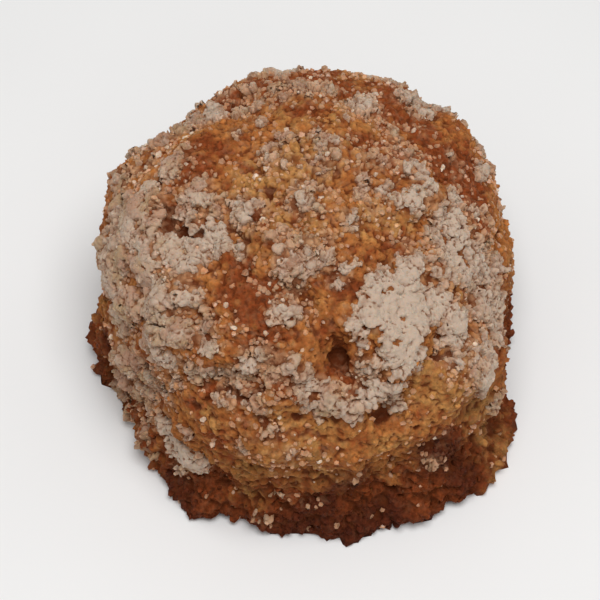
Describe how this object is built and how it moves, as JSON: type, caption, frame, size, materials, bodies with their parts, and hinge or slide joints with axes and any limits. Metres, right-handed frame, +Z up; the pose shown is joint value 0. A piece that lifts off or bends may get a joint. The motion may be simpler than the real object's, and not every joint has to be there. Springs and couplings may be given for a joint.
{
  "type": "lard cookie",
  "caption": "Tall domed crumbly cookie, cracked and sugar crusted on top, with a ragged browned foot and a flat base.",
  "frame": {"origin": "middle of the bounding box at the flat base, on the surface that the cookie rests on", "axes": "+Z up out of the base, through the top of the dome; -Y towards the front, the side with the air hole; +X to the right seen from the front"},
  "size_m": [0.0468, 0.0492, 0.0347],
  "materials": {
    "crust": "matte",
    "sugar": "satin"
  },
  "bodies": {
    "root": {"cookie": "crust"}
  },
  "joints": []
}
